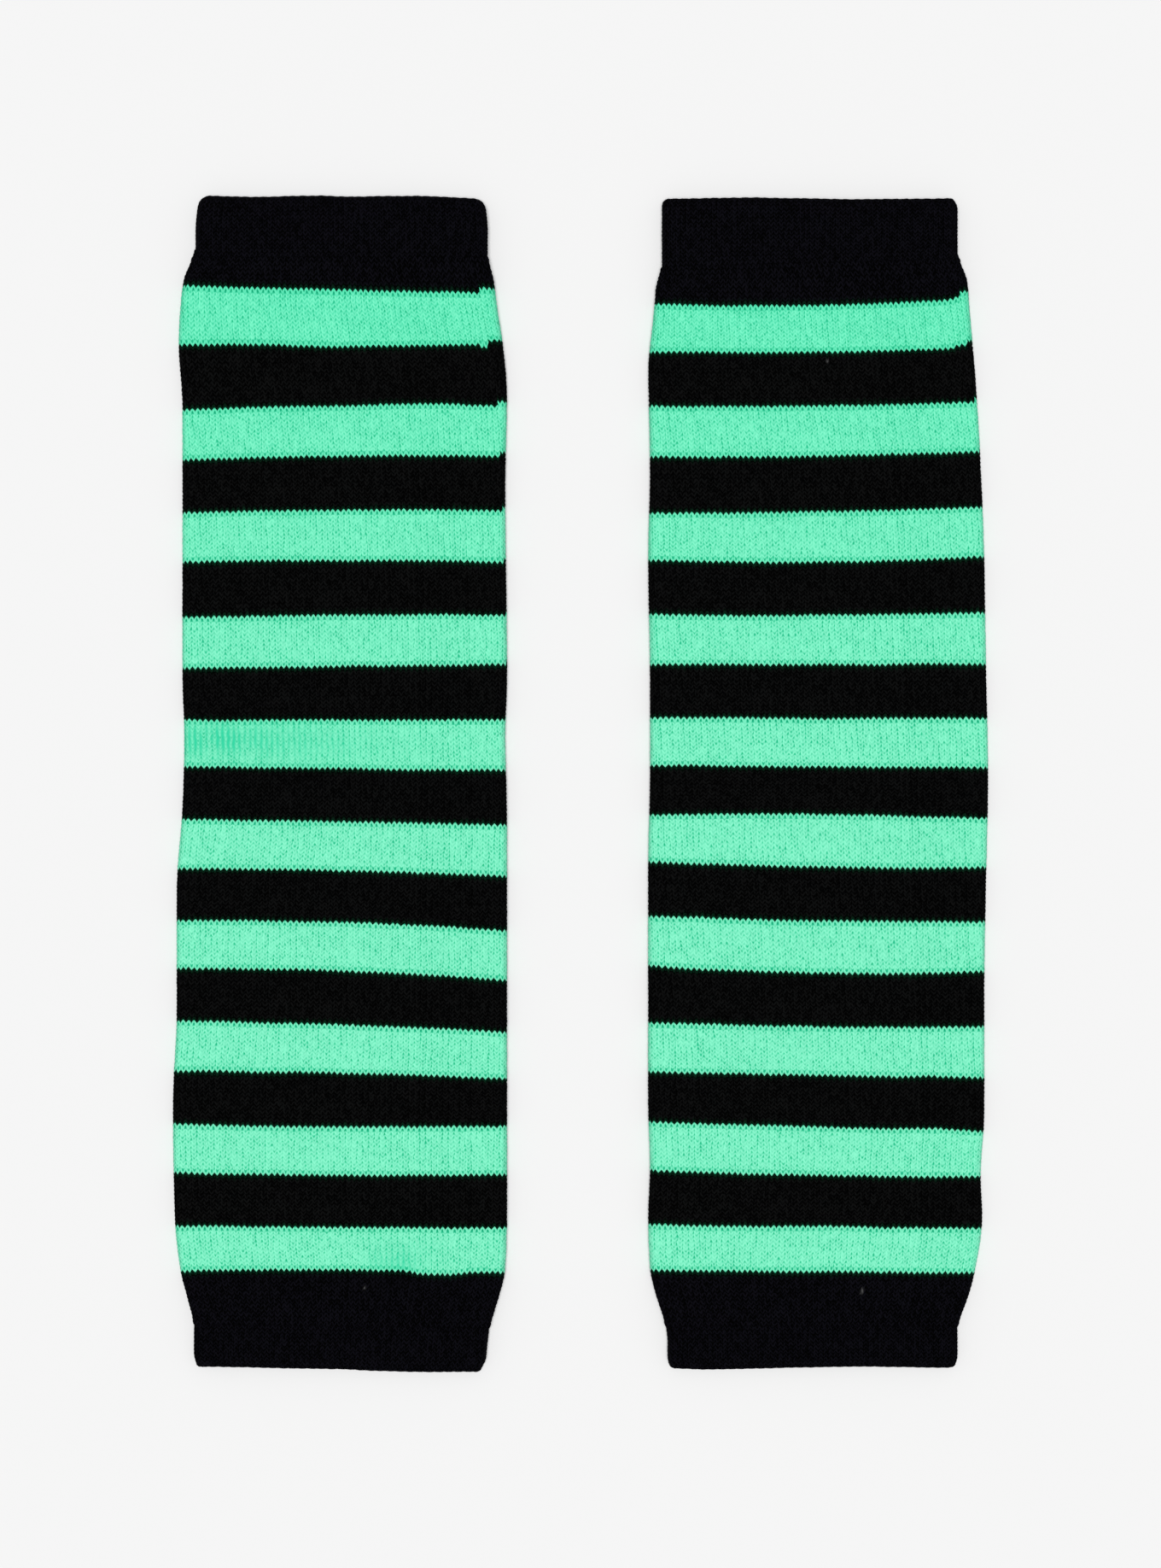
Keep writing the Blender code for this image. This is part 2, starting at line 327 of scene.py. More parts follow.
class Outline:
    """Where a CAD tube's side folds lie, and how thick it is, at each height above the hem, all mm."""

    STEP = 0.5              # between the heights that are measured

    def __init__(self, node, centre_x, smoothing, bottom_tilt, top_tilt):
        """The tilts are how much higher the tube's ends lie at the right fold than at the left one."""
        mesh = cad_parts[node].data
        tree = BVHTree.FromPolygons([v.co for v in mesh.vertices], [p.vertices for p in mesh.polygons])
        low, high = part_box(node)
        self.bottom, self.top = low.y / MM - LOWER_HEM_Y, high.y / MM - LOWER_HEM_Y
        heights = np.arange(self.bottom, self.top, self.STEP)
        ends = {
            "left": (self.bottom + max(-bottom_tilt, 0), self.top - max(top_tilt, 0)),
            "right": (self.bottom + max(bottom_tilt, 0), self.top - max(-top_tilt, 0)),
        }
        found = {"left": [], "right": [], "thickness": []}
        thickness = (high.z - low.z) / MM
        for y in heights:
            level = (y + LOWER_HEM_Y) * MM
            top = tree.ray_cast(Vector((centre_x * MM, level, 1)), Vector((0, 0, -1)))[0]
            if top:
                thickness = top.z / MM
                found["thickness"].append((y, thickness))
            for name, start, way in (("left", -1, 1), ("right", 1, -1)):
                origin = Vector((start, level, thickness / 2 * MM))
                hit = tree.ray_cast(origin, Vector((way, 0, 0)))[0]
                if hit and ends[name][0] < y < ends[name][1]:
                    found[name].append((y, abs(hit.x / MM - centre_x)))
        self.y = heights
        self.curves = {}
        for name, pairs in found.items():
            at, value = np.array(pairs).T
            self.curves[name] = smoothed(np.interp(heights, at, value), smoothing)

    def at(self, name, y):
        return np.interp(y, self.y, self.curves[name])

    def around(self, y):
        """The length of the tube's section at height y, mm."""
        radius = self.at("thickness", y) / 2
        return 2 * (self.at("left", y) + self.at("right", y) - 2 * radius) + 2 * math.pi * radius

    def mean_around(self):
        return float(np.mean(self.around(self.y)))


def laid_points(outline, turn, y, depth, lift=0.0):
    """Points of a laid tube. turn is how far round, 0 at the left fold, 0.5 at the right one.

    A section of the tube is two flat panels joined by half-round folds. depth is how far in from its
    outer face a point lies, and lift raises the panels. Everything is in mm, x from the centre line.
    """
    left, right = outline.at("left", y), outline.at("right", y)
    radius = outline.at("thickness", y) / 2
    quarter = math.pi / 2 * radius
    panel = left + right - 2 * radius
    turn = np.mod(turn, 1.0)
    front = turn <= 0.5
    along = np.where(front, turn, 1 - turn) * (2 * panel + 4 * quarter)
    beyond = along - quarter - panel
    angle = np.where(
        along < quarter, math.pi - along / radius,
        np.where(beyond < 0, math.pi / 2, math.pi / 2 - beyond / radius),
    )
    fold_x = np.clip(along - quarter, 0, panel) - left + radius
    reach = radius - depth
    x = fold_x + reach * np.cos(angle)
    side = np.where(front, 1.0, -1.0)
    rise = reach * np.sin(angle) * side
    flatness = np.clip(np.sin(angle), 0, 1)
    edge_fade = np.clip(np.minimum(x + left, right - x) / CREASE_FADE, 0, 1) ** 2
    return x, y, radius + rise + lift * edge_fade * flatness


def across_of(outline, turn, y):
    """How far across the tube a turn is at height y: -1 at its left fold, 1 at its right one."""
    x, _, _ = laid_points(outline, turn, y, 0.0)
    left, right = outline.at("left", y), outline.at("right", y)
    return (2 * x + left - right) / (left + right)


def turned(row, x, y, degrees):
    """How far x and y lie across and along a row's line, which leans degrees over to the left, mm."""
    right, up, angle = x - row.x, y - row.y, math.radians(degrees)
    return right * math.cos(angle) + up * math.sin(angle), up * math.cos(angle) - right * math.sin(angle)


def crease_height(creases, x, y):
    """How far the soft folds raise the front, mm."""
    total = np.zeros_like(x)
    for crease in creases:
        across, along = turned(crease, x, y, crease.angle)
        fade = np.exp(-((2 * along / crease.length) ** 4))
        total += crease.height * np.exp(-((across / crease.width) ** 2)) * fade
    return total


class Unevenness:
    """Smooth seeded noise over the stitches of one warmer, periodic round the tube."""

    SPARE_COURSES = 8       # past the cloth's own, for the points that its stitches lift beyond them

    def __init__(self, seed, spacing, courses):
        random = np.random.default_rng(seed)
        self.spacing = spacing
        self.count = WALES // spacing
        rows = int((courses + self.SPARE_COURSES) / spacing) + 4
        self.values = random.normal(size=(self.count, rows))

    def at(self, wale, course):
        u = np.mod(wale / self.spacing, self.count)
        v = np.clip(course / self.spacing + 1.5, 0, self.values.shape[1] - 1.001)
        i, j = u.astype(int), v.astype(int)
        s, t = u - i, v - j
        s, t = s * s * (3 - 2 * s), t * t * (3 - 2 * t)
        i2 = (i + 1) % self.count
        i = i % self.count
        lower = self.values[i, j] * (1 - s) + self.values[i2, j] * s
        upper = self.values[i, j + 1] * (1 - s) + self.values[i2, j + 1] * s
        return lower * (1 - t) + upper * t


# ---------------- the mesh of the stitches

class StitchGrid:
    """The points and triangles of a stretch of knitting.

    Every half stitch is a cell of the grid, with a leg's top at its centre and hollows at its corners.
    A fine cell also has a point in the middle of each side, between the legs and at their ends. The grid
    has 4 columns of points for each wale and 2 rows for each course.
    """

    COLUMNS, ROWS = 4, 2

    def __init__(self, courses, fine, closed_round=False, closed_up=False):
        """fine says, for each half stitch (round, up), whether it is fine."""
        self.courses = courses
        self.halves = 2 * WALES
        self.fine = fine
        self.closed_round, self.closed_up = closed_round, closed_up
        self.column, self.row = np.meshgrid(
            np.arange(2 * self.halves + 1), np.arange(2 * courses + 1), indexing="ij"
        )
        # Which points lie where two wales meet, in the middle of a wale, and between two courses.
        self.peak = self.column % self.COLUMNS == 0
        self.foot = self.column % self.COLUMNS == self.COLUMNS // 2
        self.between = self.row % self.ROWS == 0

    def triangles(self):
        """Corner points of every triangle, as (column, row) pairs, counter-clockwise from outside."""
        i, k = np.meshgrid(np.arange(self.halves), np.arange(self.courses), indexing="ij")
        fine = self.fine
        up = np.zeros((self.halves, self.courses + 1), bool)       # middles of the sides along a course
        up[:, :-1] |= fine
        up[:, 1:] |= fine
        if self.closed_up:
            up[:, 0] |= up[:, -1]
            up[:, -1] = up[:, 0]
        beside = np.zeros((self.halves + 1, self.courses), bool)   # and of the sides along a wale
        beside[:-1] |= fine
        beside[1:] |= fine
        if self.closed_round:
            beside[0] |= beside[-1]
            beside[-1] = beside[0]
        centre = (2 * i + 1, 2 * k + 1)
        left, right, low, high = 2 * i, 2 * i + 2, 2 * k, 2 * k + 2
        sides = (
            ((left, low), (right, low), up[:, :-1]),
            ((right, low), (right, high), beside[1:]),
            ((right, high), (left, high), up[:, 1:]),
            ((left, high), (left, low), beside[:-1]),
        )
        found = []
        for first, last, split in sides:
            middle = ((first[0] + last[0]) // 2, (first[1] + last[1]) // 2)
            found.append(self._pack((first, last, centre), ~split))
            found.append(self._pack((first, middle, centre), split))
            found.append(self._pack((middle, last, centre), split))
        return np.concatenate(found)

    @staticmethod
    def _pack(corners, chosen):
        columns = np.stack([np.broadcast_to(c[0], chosen.shape)[chosen] for c in corners], axis=1)
        rows = np.stack([np.broadcast_to(c[1], chosen.shape)[chosen] for c in corners], axis=1)
        return np.stack([columns, rows], axis=2)


Part = namedtuple("Part", "points marks corners stitch bake")


def knit_part(grid, points, marks, bake):
    """Picks out the points that the grid's triangles use.

    points, and each value by name in marks, are given for the whole grid, and bake turns (column, row)
    into a place in the flat map that an export bakes the material to.
    """
    corners = grid.triangles()
    columns, rows = corners[..., 0], corners[..., 1]
    stitch = np.stack([columns / grid.COLUMNS, rows / grid.ROWS], axis=-1)
    flat = bake(columns, rows)
    if grid.closed_round:
        columns = columns % (2 * grid.halves)
    if grid.closed_up:
        rows = rows % (2 * grid.courses)
    number = columns * grid.row.shape[1] + rows
    used, index = np.unique(number, return_inverse=True)
    used_marks = {name: values.reshape(-1)[used] for name, values in marks.items()}
    return Part(points.reshape(-1, 3)[used], used_marks, index.reshape(number.shape), stitch, flat)


def mesh_object(name, parts, material):
    """One mesh object from several parts, with the attributes and maps that the yarn materials read."""
    counts = np.cumsum([0] + [len(part.points) for part in parts])
    points = np.concatenate([part.points for part in parts]) * MM
    corners = np.concatenate([part.corners + start for part, start in zip(parts, counts)])
    mesh = bpy.data.meshes.new(name)
    mesh.vertices.add(len(points))
    mesh.vertices.foreach_set("co", points.ravel())
    mesh.loops.add(corners.size)
    mesh.loops.foreach_set("vertex_index", corners.ravel().astype(np.int32))
    mesh.polygons.add(len(corners))
    mesh.polygons.foreach_set("loop_start", np.arange(0, corners.size, 3, dtype=np.int32))
    for map_name, values in (("OFBake", [p.bake for p in parts]), ("Stitch", [p.stitch for p in parts])):
        flat = mesh.uv_layers.new(name=map_name)
        flat.data.foreach_set("uv", np.concatenate(values).reshape(-1).astype(np.float32))
    for mark in parts[0].marks:
        attribute = mesh.attributes.new(mark, "FLOAT", "POINT")
        values = np.concatenate([part.marks[mark] for part in parts])
        attribute.data.foreach_set("value", values.astype(np.float32))
    mesh.update(calc_edges=True)
    mesh.shade_smooth()
    mesh.materials.append(material)
    piece = bpy.data.objects.new(name, mesh)
    bpy.context.scene.collection.objects.link(piece)
    return piece


# ---------------- one warmer's body

Stripe = namedtuple("Stripe", "first courses mint")


class Body:
    """The striped tube of one warmer, as a surface over wales and courses."""

    def __init__(self, warmer):
        self.warmer = warmer
        self.outline = Outline(
            f"{warmer.side}_body", warmer.centre_x, smoothing=3,
            bottom_tilt=warmer.lies[0].tilt, top_tilt=warmer.lies[-1].tilt,
        )
        counts = LOWEST_STRIPES + MIDDLE_STRIPES + warmer.top
        self.courses = sum(counts)
        self.stripes = [
            Stripe(sum(counts[:number]), count, number % 2 == 1) for number, count in enumerate(counts)
        ]
        self.stitches = Unevenness(warmer.seed, 1, self.courses)
        self.lifts = Unevenness(warmer.seed + 1, 1, self.courses)
        self.slants = Unevenness(warmer.seed + 2, 1, self.courses)
        self.slow = Unevenness(warmer.seed + 3, COURSE_SPACING, self.courses)

    def course_height(self, course, across):
        """Height above the hem of a course, at across from -1 at the left fold to 1 at the right."""
        lies = Lie(*zip(*self.warmer.lies))
        middle, tilt, bow = (curve(lies.courses, column, course) for column in lies[1:])
        return middle + tilt * across / 2 - bow * across * across

    def step_up(self, wale):
        """How many courses the helix has climbed: 1 just right of the yarn change, 0 across the front."""
        past = wale - self.warmer.change_wale
        fade_from, fade_to = 8, WALES - self.warmer.change_wale
        return np.clip((fade_to - past) / (fade_to - fade_from), 0, 1)

    def turn(self, wale, y):
        """How far round the tube a wale lies at height y, with the slide that it has there."""
        return wale / WALES + table_curve(self.warmer.slides, y) / self.outline.around(y)

    def surface(self, wale, course, slant, depth):
        """Points of the cloth. slant is how far up the stitch's slanting legs lift the point."""
        level = course + self.step_up(wale)
        first = self.course_height(level, np.zeros_like(level))
        across = across_of(self.outline, self.turn(wale, first), first)
        y = self.course_height(level + slant, across)
        y = y + STITCH_SWAY * self.stitches.at(wale, level) + COURSE_SWAY * self.slow.at(wale, level)
        turn = self.turn(wale + STITCH_SWAY * self.slants.at(wale, level), y)
        depth = depth + STITCH_LIFT * self.lifts.at(wale, level)
        tucked = np.maximum(np.maximum(-level, level - self.courses) + TUCK_LEAD, 0)
        depth = depth + SEAM_TUCK * np.clip(tucked / TUCK_REACH, 0, 1)
        x, _, _ = laid_points(self.outline, turn, y, 0.0)
        front = np.mod(turn, 1.0) <= 0.5
        for sag in self.warmer.sags:
            near = np.exp(-(((x - sag.x) / sag.width) ** 4) - ((y - sag.y) / sag.height) ** 2)
            y = y - sag.drop * near * front
        folds = crease_height(self.warmer.creases, x, y)
        lift = np.where(front, folds, -BACK_CREASE_SHARE * np.minimum(folds, 0))
        x, y, z = laid_points(self.outline, turn, y, depth, lift)
        return np.stack([x + self.warmer.centre_x, y + LOWER_HEM_Y, z], axis=-1)

    def front_cells(self, stripe):
        """For each half stitch from the yarn change on, whether it lies on the front, with its folds."""
        middle = self.course_height(np.array([stripe.first + stripe.courses / 2]), np.zeros(1))
        half = (np.arange(2 * WALES) + 0.5) / 2 + self.warmer.change_wale
        turn = np.mod(self.turn(half, middle), 1.0)
        return np.repeat((turn < 0.5)[:, None], stripe.courses, axis=1)


def slant_of(column):
    """Courses by which a column of points is lifted: up at a wale's sides, down at its middle.

    The legs bend over a little as they meet, so the points along a stripe's edge are slightly rounded.
    """
    climbed = np.abs(2 * np.mod(column / StitchGrid.COLUMNS, 1.0) - 1.0)
    return LEG_RISE * (climbed ** LEG_BEND - 0.5)


def relief(grid, random):
    """The depth and the painted shade of every point of a stretch of knitting, both uneven from stitch to
    stitch.
    """
    kinds = (
        (grid.peak & grid.between, PEAK_HOLLOW),
        (grid.peak, PEAK_LEG_END),
        (grid.foot & grid.between, FOOT_HOLLOW),
        (grid.foot, FOOT_LEG_END),
        (grid.between, BETWEEN_LEGS),
    )
    places = [place for place, _ in kinds]
    depth = np.select(places, [kind.depth for _, kind in kinds], LEG_BACK.depth)
    shade = np.select(places, [kind.shade for _, kind in kinds], LEG_BACK.shade)
    uneven = random.normal(1.0, HOLLOW_UNEVENNESS, size=depth.shape).clip(*UNEVEN_LIMITS)
    uneven[-1] = uneven[0]
    uneven[:, -1] = uneven[:, 0]
    return depth * (0.5 + 0.5 * uneven), shade * uneven


def stripe_part(body, stripe, base, total, random):
    """One stripe of the body. base and total place it in the flat map of all stripes of its piece."""
    grid = StitchGrid(stripe.courses, body.front_cells(stripe))
    wale = body.warmer.change_wale + grid.column / grid.COLUMNS
    course = stripe.first + grid.row / grid.ROWS
    depth, shade = relief(grid, random)
    last = grid.row[0, -1]
    shade = np.where(grid.peak & (grid.row == last - grid.ROWS), TOP_EDGE_SHADE, shade)
    shade = np.where(grid.foot & (grid.row == grid.ROWS), BOTTOM_EDGE_SHADE, shade)

    # The end bands meet another yarn on one side only.
    from_below, from_above = grid.row / grid.ROWS, (last - grid.row) / grid.ROWS
    if stripe.first <= 0:
        from_below = from_above
    if stripe.first + stripe.courses >= body.courses:
        from_above = from_below
    fringe = np.clip(1 - np.minimum(from_below, from_above) / FRINGE_COURSES, 0, 1)
    points = body.surface(wale, course, slant_of(grid.column), depth)
    nap = table_curve(WHITENING_BY_HEIGHT, points[..., 1] - LOWER_HEM_Y)

    def bake(columns, rows):
        along = columns / (2 * grid.halves)
        up = (base + rows / grid.ROWS) / total
        return within_margin(np.stack([along, up], axis=-1))

    stretch, lint = stretch_at(body.warmer, points), lint_at(body.warmer, points)
    # hollow carries each point's painted shade, and in a stripe's last hollows the next yarn's colour.
    marks = {"hollow": shade, "fringe": fringe, "stretch": stretch, "nap": nap.clip(0, 1), "lint": lint}
    return knit_part(grid, points, marks, bake)


def within_margin(shares):
    """Places in the flat map that bakes use, from shares of its width and height inside its margin."""
    return BAKE_MARGIN + (1 - 2 * BAKE_MARGIN) * shares


def front_place(warmer, points):
    """How far points lie from the warmer's middle and from its hem, mm, and whether on its front."""
    return points[..., 0] - warmer.centre_x, points[..., 1] - LOWER_HEM_Y, points[..., 2] > FRONT_LEVEL


def stretch_at(warmer, points):
    """How much painted shade darkens the gaps between the stitches at each point, where the cloth is
    stretched.
    """
    x, y, front = front_place(warmer, points)
    found = np.zeros_like(x)
    for stretch in warmer.stretches:
        across, up = (x - stretch.x) / stretch.width, (y - stretch.y) / stretch.height
        found += stretch.amount * np.exp(-(across ** 2) - up ** 2)
    return found * front


def lint_at(warmer, points):
    """How much of a fibre of lint lies over each point, from 0 to 1."""
    x, y, front = front_place(warmer, points)
    found = np.zeros_like(x)
    for lint in warmer.lint:
        across, along = turned(lint, x, y, -lint.lean)
        found += np.exp(-((across / LINT_WIDTH) ** 2) - (2 * along / lint.length) ** 4)
    return found * front


# ---------------- cuffs

class CuffSurface:
    """A ribbed cuff of one warmer: from its join along its outside, over the free edge and back inside.

    way is 1 where the cuff runs up from its join, and -1 where it runs down.
    """

    def __init__(self, warmer, cuff, node, seed):
        self.warmer, self.cuff = warmer, cuff
        self.rim = cuff.wall / 2
        self.way = 1 if cuff is warmer.upper else -1
        bottom_tilt, top_tilt = (cuff.join_tilt, cuff.edge_tilt)[::self.way]
        self.outline = Outline(node, warmer.centre_x, 1, bottom_tilt, top_tilt)
        join_end, edge_end = (self.outline.bottom, self.outline.top)[::self.way]
        self.join = join_end + self.way * abs(cuff.join_tilt) / 2
        self.edge = edge_end - self.way * (self.rim + abs(cuff.edge_tilt) / 2)
        self.tall = abs(self.edge - self.join)
        self.rim_courses = max(2, round(math.pi * self.rim * cuff.outer_courses / self.tall))
        self.courses = cuff.outer_courses + self.rim_courses + cuff.inner_courses
        self.noise = Unevenness(seed, 1, self.courses)
        self.sway = Unevenness(seed + 1, CUFF_COURSE_SPACING, self.courses)

    def surface(self, wale, course, slant, depth):
        """Points of the cloth, as Body.surface gives them."""
        cuff, rim, way = self.cuff, self.rim, self.way
        level = course + slant
        bend = np.clip((level - cuff.outer_courses) / self.rim_courses, 0, 1) * math.pi
        climbed = np.minimum(level, cuff.outer_courses) / cuff.outer_courses
        returned = np.maximum(level - cuff.outer_courses - self.rim_courses, 0) / cuff.inner_courses
        share = climbed - returned
        middle = np.full_like(wale, (self.join + self.edge) / 2)
        turn = wale / WALES + table_curve(self.warmer.slides, self.join) / self.outline.around(self.join)
        across = across_of(self.outline, turn, middle)
        join = self.join + across * cuff.join_tilt / 2
        edge = self.edge + across * cuff.edge_tilt / 2 + table_curve(cuff.waves, across)
        rib = 0.5 - 0.5 * np.cos(math.pi * (wale - 0.5))
        y = join + (edge - join) * share + way * rim * np.sin(bend)
        y = y - way * RIM_SCALLOP * rib * np.sin(bend) + CUFF_STITCH_SWAY * self.noise.at(wale, course)
        y = y + CUFF_COURSE_SWAY * self.sway.at(wale, course) * np.clip(climbed * 2, 0, 1)
        outside = np.cos(bend)
        inward = rim * (1 - outside)
        lifted = STITCH_LIFT * self.noise.at(wale + CUFF_LIFT_WALES, course)
        depth = inward + outside * (depth + RIB_DEPTH * rib) + lifted
        depth = depth + JOIN_DIP * np.clip(1 - level / JOIN_COURSES, 0, 1) ** 2
        x, y, z = laid_points(self.outline, turn, y, depth)
        return np.stack([x + self.warmer.centre_x, y + LOWER_HEM_Y, z], axis=-1)


def cuff_part(shape, random):
    """A cuff of one layer is closed at the seam, from its inside to its outside, to give it a wall."""
    courses = shape.courses
    fine = np.zeros((2 * WALES, courses), bool)
    fine[:, :shape.cuff.outer_courses + shape.rim_courses] = True
    grid = StitchGrid(courses, fine, closed_round=True, closed_up=shape.cuff.layers == 1)
    wale = grid.column / grid.COLUMNS
    course = grid.row / grid.ROWS
    depth, shade = relief(grid, random)
    points = shape.surface(wale, course, slant_of(grid.column), RIB_RELIEF * depth)

    def bake(columns, rows):
        return within_margin(np.stack([columns / (2 * grid.halves), rows / (2 * courses)], axis=-1))

    plain = np.zeros_like(shade)
    marks = {"hollow": shade, "fringe": plain, "stretch": plain, "nap": plain, "lint": plain}
    return knit_part(grid, points, marks, bake)


# ---------------- materials

class Nodes:
    """Adds shader nodes to a new material and feeds them values or other nodes' outputs."""

    LINE_SHARPNESS = 8.0        # a wale line reaches 1 wale over this to each side of its middle
    LINE_CHANGES = 0.35         # how fast it comes and goes, in noise cells to a course
    LINE_ABSENT, LINE_FULL = 0.38, 0.60     # the noise's values where it is gone and where it is whole

    def __init__(self, name):
        self.material = bpy.data.materials.new(name)
        self.material.use_nodes = True
        self.tree = self.material.node_tree
        self.shader = self.tree.nodes["Principled BSDF"]

    def feed(self, socket, value):
        if isinstance(value, bpy.types.NodeSocket):
            self.tree.links.new(value, socket)
        else:
            socket.default_value = value

    def add(self, kind, output=0, **inputs):
        """A node of that kind. An input is named as its socket is, with _ for a space."""
        node = self.tree.nodes.new("ShaderNode" + kind)
        for name, value in inputs.items():
            self.feed(node.inputs[name.replace("_", " ")], value)
        return node.outputs[output]

    def math(self, operation, *values, clamp=False):
        node = self.tree.nodes.new("ShaderNodeMath")
        node.operation = operation
        node.use_clamp = clamp
        for socket, value in zip(node.inputs, values):
            self.feed(socket, value)
        return node.outputs[0]

    def ramp(self, value, low, high):
        """0 up to low, 1 from high on, and a soft step between."""
        share = self.math("MULTIPLY", self.math("SUBTRACT", value, low), 1 / (high - low), clamp=True)
        squared = self.math("MULTIPLY", share, share)
        return self.math("MULTIPLY", squared, self.math("MULTIPLY_ADD", share, -2.0, 3.0))

    def between(self, low, high, share):
        """A colour between two others."""
        node = self.tree.nodes.new("ShaderNodeMix")
        node.data_type = "RGBA"
        factor, first, second = (node.inputs[i] for i in (0, 6, 7))
        self.feed(factor, share)
        self.feed(first, low)
        self.feed(second, high)
        return node.outputs[2]

    def attribute(self, name):
        node = self.tree.nodes.new("ShaderNodeAttribute")
        node.attribute_name = name
        return node.outputs["Fac"]

    def noise(self, wale, row, wale_scale, row_scale, detail):
        """Noise over the stitches, with wale_scale cells to a wale and row_scale cells to a course."""
        x, y = self.math("MULTIPLY", wale, wale_scale), self.math("MULTIPLY", row, row_scale)
        return self.add("TexNoise", Vector=self.add("CombineXYZ", X=x, Y=y), Scale=1.0, Detail=detail)

    def each_leg(self, wale, row):
        """A random share, from 0 to 1, for each leg of each stitch."""
        leg = self.math("FLOOR", self.math("MULTIPLY", wale, 2.0))
        return self.add("TexWhiteNoise", Vector=self.add("CombineXYZ", X=leg, Y=self.math("FLOOR", row)))

    def wale_line(self, wale, row, offset, pattern):
        """1 on a thin line up each wale, which comes and goes along it.

        offset is how far it lies from where two wales meet, and pattern sets where the lines show.
        """
        beside = self.math("SUBTRACT", wale, offset)
        away = self.math("PINGPONG", beside, 0.5)
        line = self.math("MULTIPLY_ADD", away, -self.LINE_SHARPNESS, 1.0, clamp=True)
        number = self.math("FLOOR", self.math("ADD", beside, 0.5))
        shown = self.noise(number, row, pattern, self.LINE_CHANGES, 1.0)
        return self.math("MULTIPLY", line, self.ramp(shown, self.LINE_ABSENT, self.LINE_FULL))


# A yarn's colours, from the palest fibres down into the hollows: top is partly a painted highlight on the
# legs' backs and partly random tone, and from body through deep to hole the colours are painted shade down
# into the grooves and hollows. Then come painted shade in the open gaps of stretched cloth, the colour of
# the other yarn seen through a hollow, and of the fibres that the next stripe's yarn mixes in along a
# stripe's edge. Next is the share of white mixed in, paler lower down the warmer, and contrast is how
# strongly the yarn's painted grooves and its fibres show.
Yarn = namedtuple(
    "Yarn", "top body deep hole pulled other fringe nap contrast sheen sheen_tint specular roughness"
)
MINT = Yarn(
    top=(0.160, 0.765, 0.480, 1), body=(0.073, 0.61, 0.355, 1), deep=(0.030, 0.50, 0.260, 1),
    hole=(0.010, 0.40, 0.20, 1), pulled=(0.030, 0.56, 0.31, 1), other=(0.001, 0.20, 0.09, 1),
    fringe=(0.06, 0.62, 0.345, 1), nap=0.065, contrast=1.0,
    sheen=0.05, sheen_tint=(0.8, 1.0, 0.93, 1), specular=0.1, roughness=0.82,
)
BLACK = Yarn(
    top=(0.0038, 0.0040, 0.0040, 1), body=(0.0001, 0.0001, 0.0002, 1), deep=(0, 0, 0, 1),
    hole=(0, 0, 0, 1), pulled=(0.0001, 0.0001, 0.0001, 1), other=(0.001, 0.030, 0.014, 1),
    fringe=(0.0010, 0.0220, 0.0085, 1), nap=0.0, contrast=4.0,
    sheen=0.002, sheen_tint=(0.8, 0.8, 1.0, 1), specular=0.02, roughness=0.9,
)
CUFF_BLACK = BLACK._replace(top=(0.0034, 0.0032, 0.0053, 1))
LINT_GREY = (0.07, 0.07, 0.07, 1)
WHITE = (1, 1, 1, 1)

# The yarn's shade is painted shade and highlight in its hollows, grooves and wale lines, with random tone
# mixed in, about 0 on its palest fibres and 1 in a hollow. At shade 0 its top colour has PALE_SHARE, and
# loses PALE_SLOPE for each 1 more. Its deep and hole colours, painted shade, come in over their spans of
# shade, and the other yarn's over its span of the mesh's hollow mark.
PALE_SHARE, PALE_SLOPE = 0.75, 1.8
DEEP_SPAN, HOLE_SPAN, OTHER_SPAN = (0.35, 0.80), (0.80, 1.20), (1.7, 3.0)
FRINGE_SHARE = 0.8          # of the other yarn's fibres, right at a stripe's edge
GAP_NOISE_SPAN = 0.10, 0.60     # in stretched cloth, the noise values where a gap is shut and where it is fully open and painted dark

# The bump: how much its height follows the plies, the legs' round backs and the fibres.
PLY_HEIGHT, BACK_HEIGHT, FIBRE_HEIGHT = 0.10, 0.5, 0.7
BUMP_STRENGTH, BUMP_MM = 0.55, 0.22
PLY_TWIST = 9.0             # radians that the plies turn along a leg
ROUGHNESS_SPREAD = 0.16


def stitch_place(nodes):
    """The wale and the course of the point that is shaded, from the map that the meshes carry."""
    stitch_map = nodes.tree.nodes.new("ShaderNodeUVMap")
    stitch_map.uv_map = "Stitch"
    split = nodes.tree.nodes.new("ShaderNodeSeparateXYZ")
    nodes.feed(split.inputs[0], stitch_map.outputs[0])
    return split.outputs[0], split.outputs[1]


def yarn_shade(nodes, wale, row, away, fibres, contrast):
    """The yarn's shade: painted shade and highlight together with random tone.

    Painted shade falls in the stitch's own hollows and in the grooves between the legs, and up each wale
    run a painted shadow line where two wales meet and a painted highlight line beside it. Streaks and
    fibres along the legs, odd legs, whole wales and soft patches add random tone.
    """
    streaks = nodes.noise(wale, row, 1.5, 2.4, detail=3.0)
    wales = nodes.noise(wale, row, 0.9, 0.04, detail=2.0)
    patches = nodes.noise(wale, row, 0.09, 0.11, detail=3.0)
    shade = nodes.math("POWER", nodes.attribute("hollow"), 1.5)
    # away paints shade into the grooves, the first wale line is a painted highlight and the second a
    # painted shadow line.
    for source, centre, weight in (
        (away, 0.35, 0.15 * contrast),
        (streaks, 0.5, -0.35 * contrast),
        (fibres, 0.5, -0.8 * contrast),
        (nodes.each_leg(wale, row), 0.5, 0.15 * contrast),
        (nodes.wale_line(wale, row, offset=0.17, pattern=7.3), 0.0, -0.5),
        (nodes.wale_line(wale, row, offset=0.0, pattern=5.1), 0.06, 0.5),
        (wales, 0.5, -0.3),
        (patches, 0.5, -0.3),
    ):
        shade = nodes.math("MULTIPLY_ADD", nodes.math("SUBTRACT", source, centre), weight, shade)
    return shade


